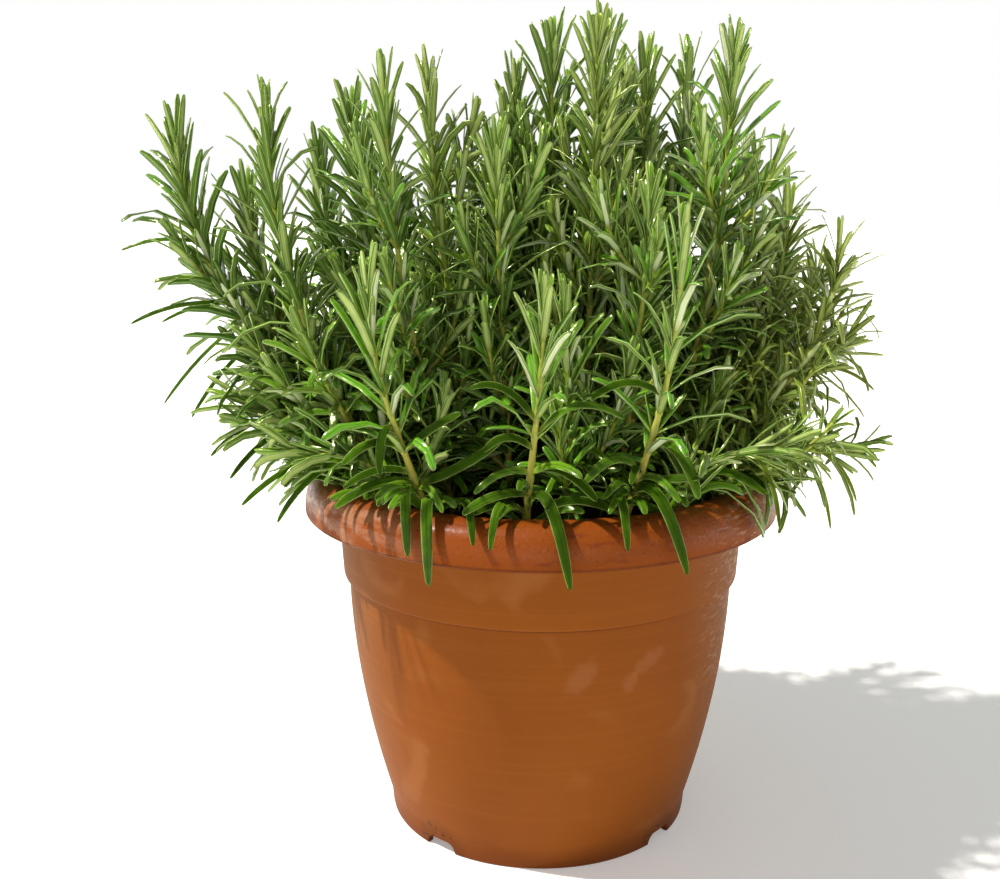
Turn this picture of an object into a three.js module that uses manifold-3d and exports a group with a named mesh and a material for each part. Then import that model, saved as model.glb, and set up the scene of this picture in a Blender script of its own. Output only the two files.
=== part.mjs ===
// Potted rosemary: a moulded pot, the soil in it and the leafy stems that grow out of the soil.
// Millimetres, +Z up. The origin is on the pot's axis, at the level the pot stands on. -Y is the front.
import * as THREE from "three";
import { mergeVertices } from "three/addons/utils/BufferGeometryUtils.js";
import Module from "manifold-3d";

const wasm = await Module();
wasm.setup();

// Pot: a thin-walled belly, a stepped collar and a turned-down rim that is hollow beneath
const SIDES = 36;
const WALL = 2.6;
const FOOT_RADIUS = 65.2;
const FOOT_RING = 3.6;
const KINK_RADIUS = 66;
const KINK_Z = 9;
const BELLY_RADIUS = 82.2;
const BELLY_POWER = 1.8;
const BELLY_LEVELS = [18, 34, 54, 78];
const SHOULDER_Z = 108;
const SHOULDER_RISE = 1.6;
const COLLAR_RADIUS = 84.6;
const COLLAR_TOP_RADIUS = 86.6;
const RIM_RADIUS = 100;
const RIM_EDGE_Z = 136.5;
const RIM_TOP_Z = 152.5;
const RIM_FACE = 1.5;
const RIM_ROLL = 12;
const RIM_ROLL_POWER = 2.5;
const RIM_ROLL_STEPS = 4;
const RIM_HOLLOW = 8.5;
const MOUTH_RADIUS = 83.3;
const MOUTH_Z = 151;

// Pot floor: a middle pad at foot level, and round it a raised channel with drain holes and foot notches
const PAD_RADIUS = 46;
const CHANNEL_Z = 4;
const CHANNEL_SLOPE = 2;
const DRAIN_RADIUS = 4.5;
const DRAIN_AT = 54.5;
const DRAIN_SIDES = 12;
const NOTCH_WIDTH = 15;
const NOTCH_HEIGHT = 4.8;
const NOTCH_CORNER = 3.4;
const NOTCH_COUNT = 4;
const NOTCH_FIRST_DEG = -38;

// Soil
const CLEAR = 0.3;
const SOIL_EDGE_Z = 131;
const SOIL_TOP_Z = 135;
const SOIL_RING_RADIUS = 60;

// Stems: square, set in plain holes, thickest at the soil
const HOLE_DEPTH = 26;
const STEM_FOOT = 2.1;
const STEM_TIP = 0.75;
const TIP_SPIKE = 13;
const BARE_SHARE = 0.13;
const BARE_RINGS = 2;
const PAIR_STEP = 14;
const RING_TURN_DEG = 12;

// A stem's path: how high its first bend is, and how far out and how far below the tip its last one is
const LIFT_SHARE = 0.27;
const LOW_LIFT = 56;
const LOW_LIFT_LOSS = 0.1;
const DROP_SHARE = 0.7;
const DROP_FROM = 50;
const LOW_DROP = 12;
const LOW_DROP_SHARE = 0.25;
const OUT_SHARE = 0.62;

// Needles: three-sided, bent once, in pairs that cross from one joint of the stem to the next
const NEEDLE_LENGTH = 31;
const NEEDLE_HALF_WIDTH = 1.8;
const NEEDLE_RIDGE = 1.2;
const NEEDLE_ROOT = 1.7;
const NEEDLE_WAIST = 0.5;
const ROOT_WIDTH = 0.45;
const NEEDLE_GAP = 0.45;
const ROOT_FREE = 0.3;
const TIP_ANGLE_DEG = 20;
const LOW_ANGLE_DEG = 82;
const LEAST_ANGLE_DEG = 12;
const ANGLE_POWER = 0.8;
const ANGLE_SPREAD_DEG = 14;
const LENGTH_SPREAD = 0.2;
const YOUNG_FROM = 0.8;
const YOUNG_LOSS = 1.6;
const UPRIGHT_FROM = 0.75;
const UPRIGHT_BEND = 0.15;
const LOW_BEND = 0.3;
const LOW_BEND_SPREAD = 0.9;
const SEED = 58;

// What is tried on a needle that meets something: shorter, then turned about the stem, then raised
const SHORTER = [1, 0.82, 0.66];
const TURNS_DEG = [0, 14, -14, 28, -28, 40, -40];
const RAISES_DEG = [0, -14, 12, -28];
const NEEDLE_BALLS = 11;
const STEM_BALLS = 6;

// Each stem's foot in the soil, the top of its last needle, and how far out it leans while it still rises
const STEMS = [
  { foot: [-52, -12], tip: [-147, -10, 300], sweep: 0.35 },
  { foot: [-50, -38], tip: [-106, -30, 310], sweep: 0.45 },
  { foot: [-60, 8], tip: [-122, 2, 276], sweep: 0.35 },
  { foot: [-40, 26], tip: [-87, 60, 312], sweep: 0.3 },
  { foot: [-56, 38], tip: [-105, 75, 294], sweep: 0.3 },
  { foot: [-38, -64], tip: [-61, -80, 248], sweep: 0.5 },
  { foot: [-36, -18], tip: [-61, -25, 318], sweep: 0.3 },
  { foot: [-26, 8], tip: [-47, 15, 324], sweep: 0.3 },
  { foot: [-12, -20], tip: [-18, -15, 295], sweep: 0.2 },
  { foot: [-14, 36], tip: [-12, 60, 324], sweep: 0.2 },
  { foot: [6, 28], tip: [4, 50, 340], sweep: 0.2 },
  { foot: [18, -4], tip: [22, 2, 338], sweep: 0.2 },
  { foot: [28, 16], tip: [26, 30, 343], sweep: 0.2 },
  { foot: [18, 48], tip: [39, 75, 325], sweep: 0.2 },
  { foot: [40, 34], tip: [46, 55, 331], sweep: 0.2 },
  { foot: [54, 46], tip: [67, 75, 333], sweep: 0.25 },
  { foot: [48, -2], tip: [76, 0, 334], sweep: 0.45 },
  { foot: [64, 24], tip: [113, 70, 277], sweep: 0.35 },
  { foot: [70, 6], tip: [125, 50, 247], sweep: 0.35 },
  { foot: [50, -26], tip: [121, -5, 258], sweep: 0.6 },
  { foot: [27, -68], tip: [50, -72, 264], sweep: 0.6 },
  { foot: [-6, -72], tip: [1, -82, 241], sweep: 0.4 },
  { foot: [14, -36], tip: [9, -60, 237], sweep: 0.3 },
  { foot: [62, -38], tip: [134, -8, 176], sweep: 0.2 },
  { foot: [44, 58], tip: [140, 58, 208], sweep: 0.15 },
  { foot: [-66, -26], tip: [-120, -26, 198], sweep: 0.15 },
  { foot: [-54, -54], tip: [-94, -62, 186], sweep: 0.1 },
  { foot: [47, -57], tip: [94, -54, 188], sweep: 0.15 },
  { foot: [73, -14], tip: [132, 12, 222], sweep: 0.15 },
  { foot: [-32, 50], tip: [-50, 100, 290], sweep: 0.3 },
  { foot: [0, 68], tip: [8, 116, 272], sweep: 0.3 },
  { foot: [28, 68], tip: [62, 122, 250], sweep: 0.2 },
  { foot: [-28, 68], tip: [-66, 124, 240], sweep: 0.2 },
  { foot: [-70, 22], tip: [-142, 44, 236], sweep: 0.15 },
  { foot: [-50, 56], tip: [-112, 104, 211], sweep: 0.1 },
  { foot: [-12, 74], tip: [-20, 140, 198], sweep: 0.1 },
  { foot: [0, 4], tip: [-16, 26, 306], sweep: 0.2 },
  { foot: [32, -24], tip: [42, -30, 276], sweep: 0.2 },
  { foot: [-38, 54], tip: [-80, 48, 296], sweep: 0.3 },
  { foot: [61, -9], tip: [104, 16, 268], sweep: 0.35 },
  { foot: [52, 16], tip: [92, 30, 292], sweep: 0.3 },
];

const DEGREE = Math.PI / 180;

// A repeatable draw from 0 to 1
function dice(seed) {
  let state = seed;
  return () => {
    state = (state * 16807) % 2147483647;
    return state / 2147483647;
  };
}

// Booleans
function solidOf(geometry) {
  const bare = geometry.clone();
  bare.deleteAttribute("normal");
  bare.deleteAttribute("uv");
  const merged = mergeVertices(bare, 1e-4);
  return new wasm.Manifold(
    new wasm.Mesh({
      numProp: 3,
      vertProperties: new Float32Array(merged.attributes.position.array),
      triVerts: new Uint32Array(merged.index.array),
    }),
  );
}

function geometryOf(solid) {
  const mesh = solid.getMesh();
  const geometry = new THREE.BufferGeometry();
  geometry.setAttribute("position", new THREE.BufferAttribute(mesh.vertProperties, 3));
  geometry.setIndex(new THREE.BufferAttribute(mesh.triVerts, 1));
  return geometry;
}

// A solid of revolution about +Z from an outline of [radius, height] points
function turned(outline) {
  const points = outline.map(([radius, z]) => new THREE.Vector2(radius, z));
  return new THREE.LatheGeometry(points, SIDES).rotateX(Math.PI / 2);
}

// Pot
function bellyRadius(z) {
  const toShoulder = (SHOULDER_Z - z) / (SHOULDER_Z - KINK_Z);
  return BELLY_RADIUS - (BELLY_RADIUS - KINK_RADIUS) * toShoulder ** BELLY_POWER;
}

function potOuterWall() {
  const belly = [...BELLY_LEVELS, SHOULDER_Z].map((z) => [bellyRadius(z), z]);
  return [
    [FOOT_RADIUS, 0],
    [KINK_RADIUS, KINK_Z],
    ...belly,
    [COLLAR_RADIUS, SHOULDER_Z + SHOULDER_RISE],
  ];
}

// The rounded top of the rim, from its outside edge to its crown
function rimRoll() {
  const height = RIM_TOP_Z - RIM_EDGE_Z - RIM_FACE;
  const points = [];
  for (let i = 0; i <= RIM_ROLL_STEPS; i++) {
    const angle = (i * Math.PI) / (2 * RIM_ROLL_STEPS);
    const across = RIM_ROLL * Math.cos(angle) ** (2 / RIM_ROLL_POWER);
    const up = height * Math.sin(angle) ** (2 / RIM_ROLL_POWER);
    points.push([RIM_RADIUS - RIM_ROLL + across, RIM_TOP_Z - height + up]);
  }
  return points;
}

function potRim() {
  const under = RIM_RADIUS - WALL;
  return [
    [COLLAR_TOP_RADIUS, MOUTH_Z - WALL],
    [under - RIM_HOLLOW / 2, MOUTH_Z - WALL],
    [under, MOUTH_Z - RIM_HOLLOW],
    [under, RIM_EDGE_Z],
    [RIM_RADIUS, RIM_EDGE_Z],
    ...rimRoll(),
    [MOUTH_RADIUS, MOUTH_Z],
  ];
}

// The inner wall from the mouth down to the floor, drawn in by extra where the soil needs its clearance
function potInnerWall(extra) {
  const inset = WALL + extra;
  const belly = [...BELLY_LEVELS, SHOULDER_Z].map((z) => [bellyRadius(z) - inset, z]);
  return [
    [COLLAR_RADIUS - inset, SHOULDER_Z + SHOULDER_RISE],
    ...belly.reverse(),
    [KINK_RADIUS - inset - 0.8, CHANNEL_Z + inset],
    [PAD_RADIUS + 0.5 - extra, CHANNEL_Z + inset],
    [PAD_RADIUS - CHANNEL_SLOPE + 0.5 - extra, inset],
    [0, inset],
  ];
}

function notchCutter(angle) {
  const half = NOTCH_WIDTH / 2;
  const arch = new THREE.Shape();
  arch.moveTo(-half, -1);
  arch.lineTo(half, -1);
  arch.lineTo(half, NOTCH_HEIGHT - NOTCH_CORNER);
  arch.lineTo(half - NOTCH_CORNER, NOTCH_HEIGHT);
  arch.lineTo(NOTCH_CORNER - half, NOTCH_HEIGHT);
  arch.lineTo(-half, NOTCH_HEIGHT - NOTCH_CORNER);
  arch.closePath();
  const cutter = new THREE.ExtrudeGeometry(arch, { depth: 12, bevelEnabled: false });
  cutter.rotateX(Math.PI / 2);
  cutter.translate(0, 2 - FOOT_RADIUS + FOOT_RING, 0);
  cutter.rotateZ(angle + Math.PI / 2);
  return solidOf(cutter);
}

function drainCutter(angle) {
  const cutter = new THREE.CylinderGeometry(DRAIN_RADIUS, DRAIN_RADIUS, 12, DRAIN_SIDES);
  cutter.rotateX(Math.PI / 2);
  cutter.translate(DRAIN_AT, 0, CHANNEL_Z);
  cutter.rotateZ(angle);
  return solidOf(cutter);
}

function potGeometry() {
  const channel = [
    [PAD_RADIUS, 0],
    [PAD_RADIUS + CHANNEL_SLOPE, CHANNEL_Z],
    [FOOT_RADIUS - FOOT_RING, CHANNEL_Z],
    [FOOT_RADIUS - FOOT_RING + 0.4, 0],
  ];
  const outline = [[0, 0], ...channel, ...potOuterWall(), ...potRim(), ...potInnerWall(0)];
  let pot = solidOf(turned(outline));
  for (let i = 0; i < NOTCH_COUNT; i++) {
    const angle = (NOTCH_FIRST_DEG + (i * 360) / NOTCH_COUNT) * DEGREE;
    pot = pot.subtract(notchCutter(angle)).subtract(drainCutter(angle));
  }
  return geometryOf(pot);
}

// Stem paths
function stemPath({ foot, tip, sweep }) {
  const start = new THREE.Vector3(foot[0], foot[1], soilHeight(Math.hypot(...foot)));
  const end = new THREE.Vector3(tip[0], tip[1], tip[2] - TIP_SPIKE);
  const way = end.clone().sub(start);
  const lift = Math.max(LIFT_SHARE * way.z, LOW_LIFT - LOW_LIFT_LOSS * way.z);
  const drop = Math.max(Math.min(LOW_DROP, LOW_DROP_SHARE * way.z), DROP_SHARE * (way.z - DROP_FROM));
  const out = Math.min(1, sweep + OUT_SHARE);
  const first = start.clone().add(new THREE.Vector3(sweep * way.x, sweep * way.y, lift));
  const second = new THREE.Vector3(start.x + out * way.x, start.y + out * way.y, end.z - drop);
  return new THREE.CubicBezierCurve3(start, first, second, end);
}

function soilHeight(radius) {
  if (radius < SOIL_RING_RADIUS) return SOIL_TOP_Z - (radius / SOIL_RING_RADIUS) ** 2;
  const slope = (SOIL_TOP_Z - 1 - SOIL_EDGE_Z) / (MOUTH_RADIUS - SOIL_RING_RADIUS);
  return SOIL_TOP_Z - 1 - slope * (radius - SOIL_RING_RADIUS);
}

// The stem's direction, and two sides square to it and to each other
function axesAt(tangent) {
  const along = tangent.clone().normalize();
  const side = new THREE.Vector3(0, 1, 0).cross(along).normalize();
  const across = along.clone().cross(side);
  return { along, side, across };
}

// Four corners of the stem's section
function stemRing(centre, axes, reach, turn) {
  return [0, 1, 2, 3].map((k) => {
    const angle = turn + (k + 0.5) * (Math.PI / 2);
    return centre
      .clone()
      .addScaledVector(axes.side, reach * Math.cos(angle))
      .addScaledVector(axes.across, reach * Math.sin(angle));
  });
}

// Soil
function holeCutter(stem) {
  const path = stemPath(stem);
  const axes = axesAt(path.getTangent(0));
  const reach = STEM_FOOT + CLEAR * Math.SQRT2;
  const below = path.getPoint(0).addScaledVector(axes.along, -HOLE_DEPTH - CLEAR);
  const above = path.getPoint(0).addScaledVector(axes.along, HOLE_DEPTH);
  const corners = [...stemRing(below, axes, reach, 0), ...stemRing(above, axes, reach, 0)];
  const faces = [0, 2, 1, 0, 3, 2, 4, 5, 6, 4, 6, 7];
  for (let k = 0; k < 4; k++) {
    const next = (k + 1) % 4;
    faces.push(k, next, next + 4, k, next + 4, k + 4);
  }
  const prism = new THREE.BufferGeometry().setFromPoints(corners);
  prism.setIndex(faces);
  return solidOf(prism);
}

function soilGeometry() {
  const wall = potInnerWall(CLEAR).reverse();
  const top = [
    [COLLAR_RADIUS + 0.4 - WALL - CLEAR, SOIL_EDGE_Z],
    [SOIL_RING_RADIUS, SOIL_TOP_Z - 1],
    [0, SOIL_TOP_Z],
  ];
  let soil = solidOf(turned([...wall, ...top]));
  for (const stem of STEMS) {
    soil = soil.subtract(holeCutter(stem));
  }
  return geometryOf(soil);
}

// What is already placed, as balls in a grid of cells, so that a needle can be set clear of it
const CELL = 8;
const filled = new Map();

function cellKey(x, y, z) {
  return `${Math.floor(x / CELL)},${Math.floor(y / CELL)},${Math.floor(z / CELL)}`;
}

function addBall(ball) {
  const key = cellKey(ball.at.x, ball.at.y, ball.at.z);
  if (!filled.has(key)) filled.set(key, []);
  filled.get(key).push(ball);
}

function nearBalls(at) {
  const found = [];
  for (const dx of [-CELL, 0, CELL]) {
    for (const dy of [-CELL, 0, CELL]) {
      for (const dz of [-CELL, 0, CELL]) {
        found.push(...(filled.get(cellKey(at.x + dx, at.y + dy, at.z + dz)) || []));
      }
    }
  }
  return found;
}

function meetsPot(ball) {
  const radius = Math.hypot(ball.at.x, ball.at.y);
  const room = ball.reach + NEEDLE_GAP;
  if (radius < MOUTH_RADIUS - room) return ball.at.z < SOIL_TOP_Z + room;
  return radius < RIM_RADIUS + room && ball.at.z < RIM_TOP_Z + room;
}

// Balls of the same stem may touch near the root, where the needle grows out of it
function isClear(balls, owner) {
  return balls.every((ball) => {
    if (meetsPot(ball)) return false;
    return nearBalls(ball.at).every((other) => {
      if (other.owner === owner && ball.share < ROOT_FREE) return true;
      return ball.at.distanceTo(other.at) > ball.reach + other.reach + NEEDLE_GAP;
    });
  });
}

// Needles
function needleShape(root, direction, bend, length, along) {
  const waist = root.clone().addScaledVector(direction, NEEDLE_WAIST * length);
  const right = along.clone().cross(direction).normalize();
  const up = direction.clone().cross(right);
  const onward = direction.clone().addScaledVector(up, bend).normalize();
  const point = waist.clone().addScaledVector(onward, (1 - NEEDLE_WAIST) * length);
  return { root, waist, point, right, up };
}

function needleBalls(shape, owner) {
  const balls = [];
  for (let i = 1; i <= NEEDLE_BALLS; i++) {
    const share = i / NEEDLE_BALLS;
    const upper = share > NEEDLE_WAIST;
    const local = upper ? (share - NEEDLE_WAIST) / (1 - NEEDLE_WAIST) : share / NEEDLE_WAIST;
    const at = upper
      ? shape.waist.clone().lerp(shape.point, local)
      : shape.root.clone().lerp(shape.waist, local);
    const width = upper ? 1 - local : ROOT_WIDTH + (1 - ROOT_WIDTH) * local;
    balls.push({ at, reach: Math.max(0.3, NEEDLE_HALF_WIDTH * width), share, owner });
  }
  return balls;
}

// Tries the needle's own direction first, then turns, raises and shortens it until it is clear
function placeNeedle(root, outward, along, share, owner, draw) {
  const lean = TIP_ANGLE_DEG + (LOW_ANGLE_DEG - TIP_ANGLE_DEG) * (1 - share) ** ANGLE_POWER;
  const grown = NEEDLE_LENGTH * (1 - YOUNG_LOSS * Math.max(0, share - YOUNG_FROM));
  const natural = lean + ANGLE_SPREAD_DEG * (draw() - 0.5);
  const length = grown * (1 + LENGTH_SPREAD * (draw() - 0.5));
  const lowBend = LOW_BEND - LOW_BEND_SPREAD * draw() * (1 - share);
  const bend = share > UPRIGHT_FROM ? UPRIGHT_BEND : lowBend;
  for (const shorter of SHORTER) {
    for (const turn of TURNS_DEG) {
      for (const raise of RAISES_DEG) {
        const angle = Math.max(LEAST_ANGLE_DEG, natural + raise) * DEGREE;
        const direction = outward
          .clone()
          .applyAxisAngle(along, turn * DEGREE)
          .multiplyScalar(Math.sin(angle))
          .addScaledVector(along, Math.cos(angle));
        const shape = needleShape(root, direction, bend, length * shorter, along);
        const balls = needleBalls(shape, owner);
        if (isClear(balls, owner)) {
          balls.forEach(addBall);
          return shape;
        }
      }
    }
  }
  return null;
}

// Stem with its needles raised from its faces
class Skin {
  constructor() {
    this.points = [];
    this.faces = [];
  }

  add(...points) {
    const first = this.points.length;
    this.points.push(...points);
    return points.map((_, i) => first + i);
  }

  face(a, b, c) {
    this.faces.push(a, b, c);
  }

  plainWall([a, b, c, d]) {
    this.face(a, b, c);
    this.face(a, c, d);
  }

  needleWall([a, b, c, d], head, shape) {
    const [e] = this.add(head);
    this.face(a, e, d);
    this.face(e, c, d);
    this.face(e, b, c);
    const offset = shape.right.clone().multiplyScalar(NEEDLE_HALF_WIDTH);
    const waist = this.add(
      shape.waist.clone().sub(offset),
      shape.waist.clone().add(offset),
      shape.waist.clone().addScaledVector(shape.up, NEEDLE_RIDGE),
    );
    const [point] = this.add(shape.point);
    const root = [a, b, e];
    for (let i = 0; i < 3; i++) {
      const j = (i + 1) % 3;
      this.plainWall([root[i], root[j], waist[j], waist[i]]);
      this.face(waist[i], waist[j], point);
    }
  }

  geometry() {
    const geometry = new THREE.BufferGeometry().setFromPoints(this.points);
    geometry.setIndex(this.faces);
    return geometry;
  }
}

// Rings from the hole's foot to the tip: bare at first, then one at each pair of needles, closer near the tip
function stemRings(stem) {
  const path = stemPath(stem);
  const pairs = Math.round(path.getLength() / PAIR_STEP);
  const shares = [];
  for (let i = 0; i < BARE_RINGS; i++) {
    shares.push((BARE_SHARE * i) / BARE_RINGS);
  }
  for (let i = 0; i <= pairs; i++) {
    shares.push(BARE_SHARE + (1 - BARE_SHARE) * (1 - (1 - i / pairs) ** 1.2));
  }
  const rings = shares.map((share, i) => {
    const axes = axesAt(path.getTangentAt(share));
    const reach = STEM_FOOT + (STEM_TIP - STEM_FOOT) * share;
    return { share, axes, centre: path.getPointAt(share), reach, turn: i * RING_TURN_DEG * DEGREE };
  });
  const foot = rings[0];
  const centre = foot.centre.clone().addScaledVector(foot.axes.along, -HOLE_DEPTH);
  return [{ ...foot, centre }, ...rings];
}

function placeStemBalls(rings, owner) {
  for (let i = 1; i + 1 < rings.length; i++) {
    for (let k = 0; k < STEM_BALLS; k++) {
      const at = rings[i].centre.clone().lerp(rings[i + 1].centre, k / STEM_BALLS);
      addBall({ at, reach: rings[i].reach, share: 0, owner });
    }
  }
  const tip = rings.at(-1);
  for (let k = 0; k <= STEM_BALLS; k++) {
    const at = tip.centre.clone().addScaledVector(tip.axes.along, (TIP_SPIKE * k) / STEM_BALLS);
    addBall({ at, reach: STEM_TIP, share: 0, owner });
  }
}

function sprigGeometry(rings, owner, draw) {
  const skin = new Skin();
  const corners = rings.map((ring) => {
    return skin.add(...stemRing(ring.centre, ring.axes, ring.reach, ring.turn));
  });
  const [foot, crown] = [corners[0], corners.at(-1)];
  skin.face(foot[0], foot[2], foot[1]);
  skin.face(foot[0], foot[3], foot[2]);
  for (let i = 0; i + 1 < rings.length; i++) {
    const leafy = i > BARE_RINGS;
    for (let k = 0; k < 4; k++) {
      const next = (k + 1) % 4;
      const wall = [corners[i][k], corners[i][next], corners[i + 1][next], corners[i + 1][k]];
      const shape = leafy && k % 2 === i % 2 ? needleOn(skin, wall, rings[i], owner, draw) : null;
      if (shape) skin.needleWall(wall, shape.head, shape);
      else skin.plainWall(wall);
    }
  }
  const last = rings.at(-1);
  const [apex] = skin.add(last.centre.clone().addScaledVector(last.axes.along, TIP_SPIKE));
  for (let k = 0; k < 4; k++) {
    skin.face(crown[k], crown[(k + 1) % 4], apex);
  }
  return skin.geometry();
}

// A needle that grows from the foot of one wall of the stem, or null where there is no room for it
function needleOn(skin, [a, b, c, d], ring, owner, draw) {
  const low = skin.points[a].clone().add(skin.points[b]).multiplyScalar(0.5);
  const high = skin.points[c].clone().add(skin.points[d]).multiplyScalar(0.5);
  const head = low.clone().lerp(high, Math.min(0.6, NEEDLE_ROOT / low.distanceTo(high)));
  const outward = low.clone().sub(ring.centre);
  outward.addScaledVector(ring.axes.along, -outward.dot(ring.axes.along)).normalize();
  const root = low.clone().lerp(head, 0.4);
  const leafShare = (ring.share - BARE_SHARE) / (1 - BARE_SHARE);
  const shape = placeNeedle(root, outward, ring.axes.along, leafShare, owner, draw);
  return shape && { ...shape, head };
}

// Materials
function finish(color, roughness) {
  return new THREE.MeshStandardMaterial({ color, roughness, metalness: 0 });
}

const TERRACOTTA = finish(0xb9713a, 0.45);
const EARTH = finish(0x3a2a1e, 0.95);
const LEAF = finish(0x4c7a34, 0.45);

// The whole plant
const plant = new THREE.Group();

function addPiece(name, geometry, material) {
  const mesh = new THREE.Mesh(geometry, material.clone());
  mesh.name = name;
  plant.add(mesh);
}

addPiece("pot", potGeometry(), TERRACOTTA);
addPiece("soil", soilGeometry(), EARTH);
const allRings = STEMS.map(stemRings);
allRings.forEach(placeStemBalls);
allRings.forEach((rings, i) => {
  const name = `sprig_${String(i + 1).padStart(2, "0")}`;
  addPiece(name, sprigGeometry(rings, i, dice(SEED + i)), LEAF);
});

export default plant;
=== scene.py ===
import random
from collections import namedtuple
from math import cos, exp, hypot, pi, radians, sin, sqrt, tau

import bmesh
import bpy
from mathutils import Matrix, Vector, noise
from mathutils.geometry import interpolate_bezier


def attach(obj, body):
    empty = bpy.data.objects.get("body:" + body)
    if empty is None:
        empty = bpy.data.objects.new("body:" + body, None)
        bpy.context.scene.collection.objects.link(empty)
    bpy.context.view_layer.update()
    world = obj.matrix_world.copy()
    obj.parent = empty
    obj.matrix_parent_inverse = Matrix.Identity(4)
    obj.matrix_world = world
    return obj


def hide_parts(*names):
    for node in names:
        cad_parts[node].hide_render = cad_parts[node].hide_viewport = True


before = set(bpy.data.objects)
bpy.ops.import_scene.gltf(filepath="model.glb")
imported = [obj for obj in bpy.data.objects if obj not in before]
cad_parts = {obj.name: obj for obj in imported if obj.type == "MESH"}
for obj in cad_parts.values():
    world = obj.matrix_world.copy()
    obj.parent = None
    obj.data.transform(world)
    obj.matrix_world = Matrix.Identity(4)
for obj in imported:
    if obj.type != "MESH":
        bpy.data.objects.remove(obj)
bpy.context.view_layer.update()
scene = bpy.context.scene

# All is modelled in millimetres in the pot's frame, and brought to metres at the end
METRE = 0.001

# Pot: a thin-walled belly, a stepped collar and a turned-down rim that is hollow beneath
POT_STEPS = 144
WALL = 2.6
FOOT_RADIUS = 65.2
FOOT_RING = 3.6
KINK_RADIUS = 66
KINK_Z = 9
BELLY_RADIUS = 82.2
BELLY_POWER = 1.8
BELLY_STEPS = 18
INSIDE_FOOT_Z = 18
INSIDE_STEPS = 10
SHOULDER_Z = 108
COLLAR_RADIUS = 84.6
COLLAR_TOP_RADIUS = 86.6
RIM_RADIUS = 100
RIM_EDGE_Z = 136.5
RIM_TOP_Z = 152.5
RIM_FACE = 1.5
RIM_ROLL = 12
RIM_ROLL_POWER = 2.5
RIM_ROLL_STEPS = 10
RIM_HOLLOW = 8.5
MOUTH_RADIUS = 83.3
MOUTH_Z = 151
CRISP_FROM = radians(38)

# Pot floor: a pad at foot level, and round it a raised channel with drain holes and foot notches
PAD_RADIUS = 46
CHANNEL_Z = 4
CHANNEL_SLOPE = 2
DRAIN_RADIUS = 4.5
DRAIN_AT = 54.5
DRAIN_SIDES = 24
NOTCH_WIDTH = 15
NOTCH_HEIGHT = 4.8
NOTCH_CORNER = 3.8
NOTCH_CORNER_STEPS = 6
NOTCH_COUNT = 4
NOTCH_FIRST = radians(-38)
NOTCH_OUT = 2
CUT_DEPTH = 12

# Faint marks on the pot's front: centre across and up, half sizes, and turn
SMUDGES = [((16, 89), (12, 6), -0.95), ((42, 92), (10, 4.5), -0.6), ((35, 85), (4, 6), 0.2)]

# Soil, with its crumbs, and how close and how high its lumps are
CLEAR = 0.3
SOIL_EDGE_Z = 131
SOIL_TOP_Z = 135
SOIL_RING_RADIUS = 60
SOIL_RING_DROP = 1
SOIL_STEPS = 96
SOIL_RINGS = 30
CRUMBS = 620
CRUMB_SIZES = (0.7, 1.3)
LARGE_CRUMB_EXTRA = 1.6
COARSE_LUMPS = (0.09, 1.5)
FINE_LUMPS = (0.42, 0.8)

# Where the bush's foremost, front, rear and outer stems are
FOREMOST_Y = -60
FRONT_Y = -30
LOW_LEAVES_FROM_Y = -15
REAR_Y = 20
OUTER_X = 95

# Stems: the same paths as the solid ones, with low ridges
HOLE_DEPTH = 26
TIP_SPIKE = 13
STEM_FOOT = 1.7
STEM_TIP = 0.8
STEM_RIDGE = 1.06
STEM_FLAT = 0.88
PATH_STEPS = 64
SEED = 37

# A stem's path: how high its first bend is, and how far out and below the tip its last one is
LIFT_SHARE = 0.27
LOW_LIFT = 56
LOW_LIFT_LOSS = 0.1
DROP_SHARE = 0.7
DROP_FROM = 50
LOW_DROP = 12
LOW_DROP_SHARE = 0.25
OUT_SHARE = 0.62

# Joints: how far apart they are from the tip down, the scars below the leaves, and the swelling
TIP_GAP = 3.4
FOREMOST_TIP_GAP = 5.2
GAP_GROWTH = 0.6
STEM_GAP = 7.6
OUTER_GAP = 6.6
SHOOT_GAP = 5.6
BARE_LENGTH = 5
FOREMOST_BARE_LENGTH = 42
SHOOT_BARE_LENGTH = 3
SCAR_GAP = 8
JOINT_LENGTH = 1.4
JOINT_NECK = 0.96
JOINT_SWELL = 1.22

# Side shoots: how low they start, their lengths and leans, and their sizes beside the stem's
SHOOTS_FROM = 0.08
SHOOT_LENGTHS = (20, 34)
LOW_SHOOT_EXTRA = 26
SHOOT_LEANS = (38, 62)
SHOOT_THICKNESS = 0.75
SHOOT_TIP = 0.85
SHOOT_VIGOUR = 0.72

# Leaves at the tip and lower down, and how far down they are grown, no longer young, and open
TIP_LEAN = 6
LOW_LEAN = 62
TIP_LENGTH = 15
LOW_LENGTH = 31
TIP_HALF_WIDTH = 1.3
LOW_HALF_WIDTH = 1.7
GROWN_REACH = 14
YOUTH_REACH = 26
LEAN_REACH = 48
REAR_SIZE = 1.14
OUTER_SIZE = 1.1

# How leaves differ by chance: ranges, or the most to each side
TURN_SPREAD = 0.25
LEAN_SPREAD = 9
LENGTHS = (0.8, 1.14)
WIDTHS = (0.86, 1.12)
LEAST_BEND = 2
BEND_RANGE = 54
MOST_DROOP = 0.9
TWIST_SPREAD = 0.6

# Small leaves in the armpits of the others: how far below the tip they start, and their ranges
SMALL_FROM = 11
SMALL_TURN_SPREAD = 0.9
SMALL_LEANS = (0.35, 0.75)
SMALL_LENGTHS = (11, 22)
SMALL_HALF_WIDTHS = (1.1, 1.5)
SMALL_BEND = 26
SMALL_TWIST_SPREAD = 0.4
SHOOT_SMALL = (0, 1, 1)

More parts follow.
